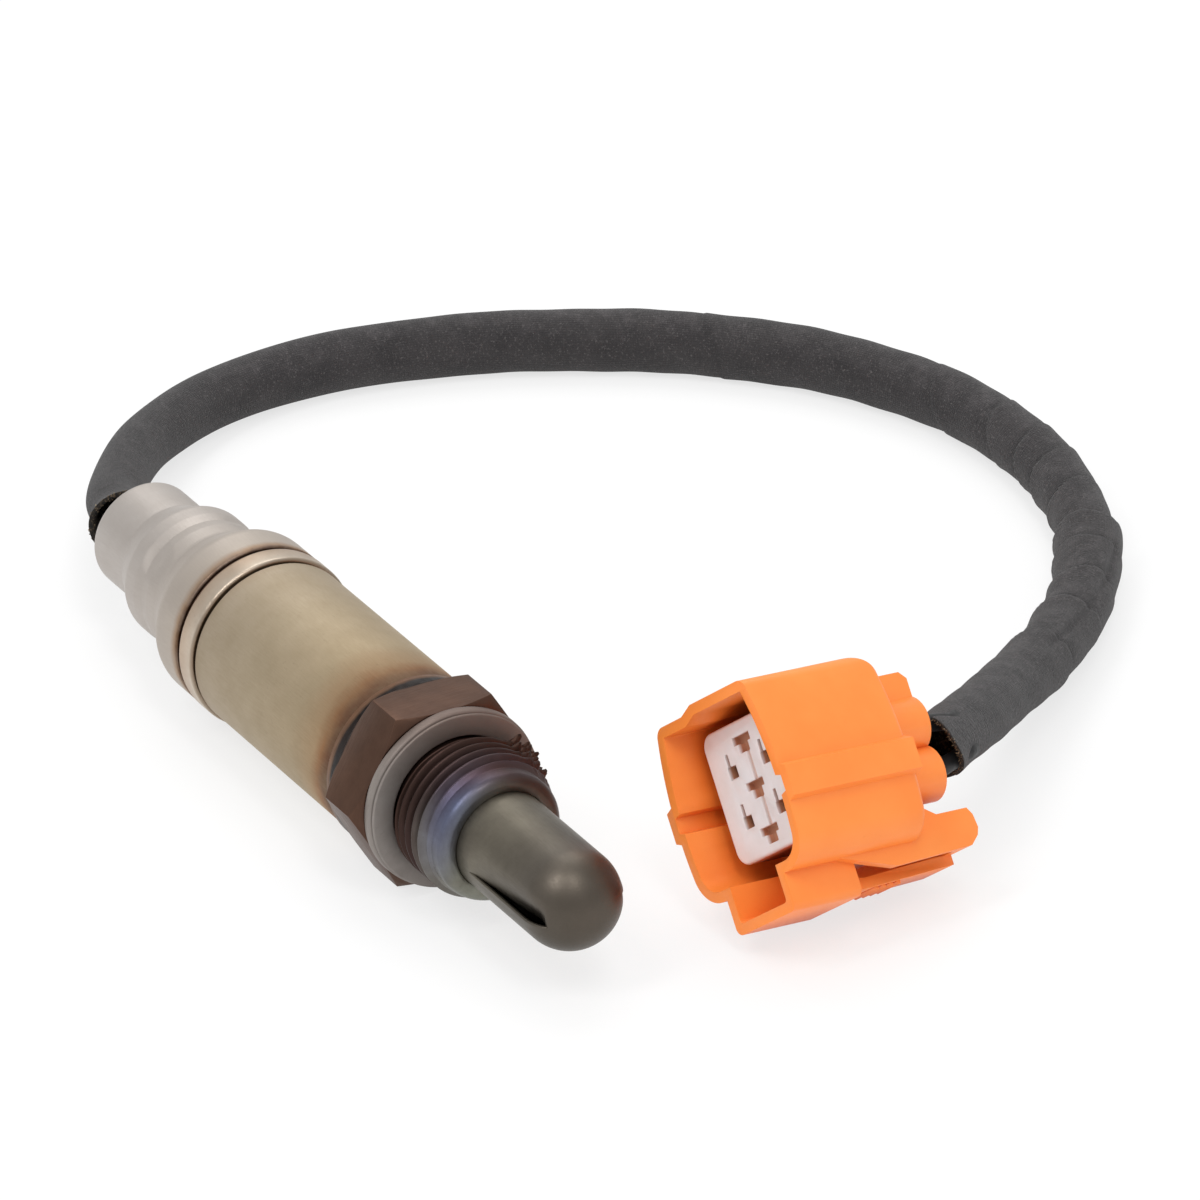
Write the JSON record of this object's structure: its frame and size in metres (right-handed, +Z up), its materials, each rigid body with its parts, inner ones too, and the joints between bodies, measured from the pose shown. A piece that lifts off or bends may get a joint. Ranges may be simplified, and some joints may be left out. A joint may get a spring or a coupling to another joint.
{
  "type": "oxygen sensor",
  "caption": "Heated oxygen sensor with threaded body, crush gasket and louvred tip, on a short sheathed lead with a square sealed plug.",
  "frame": {"origin": "on the sensor's axis, at the start of its thread, 0.1 mm in front of the gasket's sealing face", "axes": "+X along the sensor's axis towards its protected tip; +Z up from the surface the part lies on"},
  "size_m": [0.1617, 0.1288, 0.032],
  "materials": {
    "shell_steel": "heat-stained turned steel",
    "gasket_steel": "rolled steel strip",
    "tube_steel": "drawn steel, heat-darkened",
    "inner_tube_steel": "drawn steel",
    "zirconia": "unglazed zirconia",
    "seal_steel": "plain steel ring",
    "talc": "pressed powder",
    "bush_ceramic": "unglazed ceramic",
    "spring_steel": "spring steel",
    "heater_ceramic": "unglazed ceramic",
    "sleeve_steel": "straw heat tint",
    "inner_sleeve_steel": "drawn steel",
    "bead_steel": "rolled steel",
    "membrane": "porous membrane",
    "cap_steel": "satin drawn steel",
    "holder_ceramic": "unglazed ceramic",
    "grommet_rubber": "moulded rubber",
    "sheath_weave": "black woven sleeve",
    "housing_plastic": "orange moulding",
    "retainer_plastic": "white moulding",
    "contact_metal": "formed strip",
    "wire_insulation": "black insulation",
    "seal_rubber": "moulded rubber"
  },
  "bodies": {
    "root": {"shell": "shell_steel", "gasket": "gasket_steel", "outer_protection_tube": "tube_steel", "inner_protection_tube": "inner_tube_steel", "zirconia_element": "zirconia", "element_seal": "seal_steel", "talc_packing": "talc", "ceramic_bush": "bush_ceramic", "press_ring": "spring_steel", "heater_rod": "heater_ceramic", "body_sleeve": "sleeve_steel", "inner_sleeve": "inner_sleeve_steel", "retaining_bead": "bead_steel", "vent_membrane": "membrane", "rear_cap": "cap_steel", "contact_holder": "holder_ceramic", "grommet": "grommet_rubber", "sheath": "sheath_weave", "connector_housing": "housing_plastic", "terminal_retainer": "retainer_plastic", "contact_1": "contact_metal", "contact_2": "contact_metal", "contact_3": "contact_metal", "contact_4": "contact_metal", "terminal_1": "contact_metal", "terminal_2": "contact_metal", "terminal_3": "contact_metal", "terminal_4": "contact_metal", "sensor_lead_1": "wire_insulation", "sensor_lead_2": "wire_insulation", "sensor_lead_3": "wire_insulation", "sensor_lead_4": "wire_insulation", "plug_wire_1": "wire_insulation", "plug_wire_2": "wire_insulation", "plug_wire_3": "wire_insulation", "plug_wire_4": "wire_insulation", "wire_seal_1": "seal_rubber", "wire_seal_2": "seal_rubber", "wire_seal_3": "seal_rubber", "wire_seal_4": "seal_rubber"}
  },
  "joints": []
}
